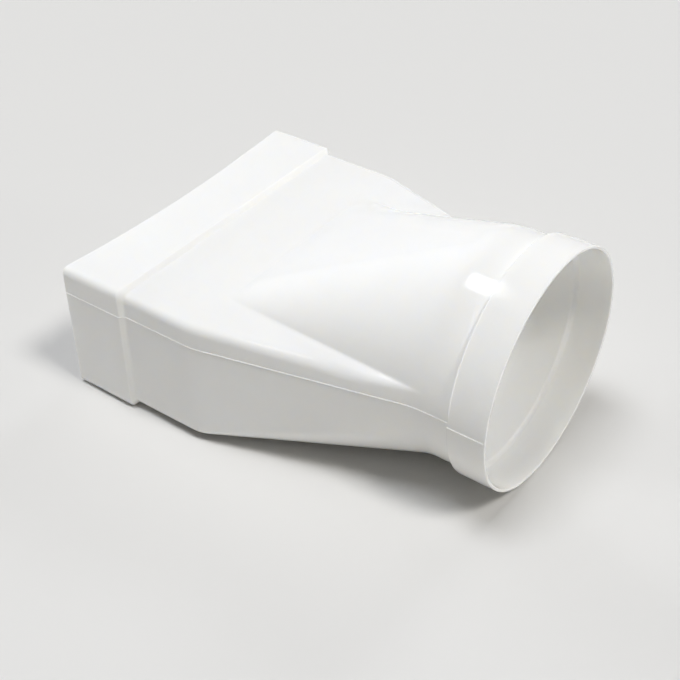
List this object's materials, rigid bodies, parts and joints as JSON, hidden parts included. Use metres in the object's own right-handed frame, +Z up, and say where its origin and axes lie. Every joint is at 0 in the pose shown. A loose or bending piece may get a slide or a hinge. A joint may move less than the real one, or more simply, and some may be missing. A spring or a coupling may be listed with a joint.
{
  "type": "rectangular to round duct adapter",
  "caption": "Moulded plastic adapter whose rectangular socket and flat body taper through flat panels and cones to a raised round socket, joining a flat duct to a round duct.",
  "frame": {"origin": "on the round socket's axis, at the shoulder where the round duct stops", "axes": "+X along the round socket's axis and out of its mouth, +Z up, with the rectangular socket at -X and lower than the round one"},
  "size_m": [0.2953, 0.2258, 0.158],
  "materials": {
    "white_plastic": "glossy injection-moulded white plastic"
  },
  "bodies": {
    "root": {"duct_adapter": "white_plastic"}
  },
  "joints": []
}
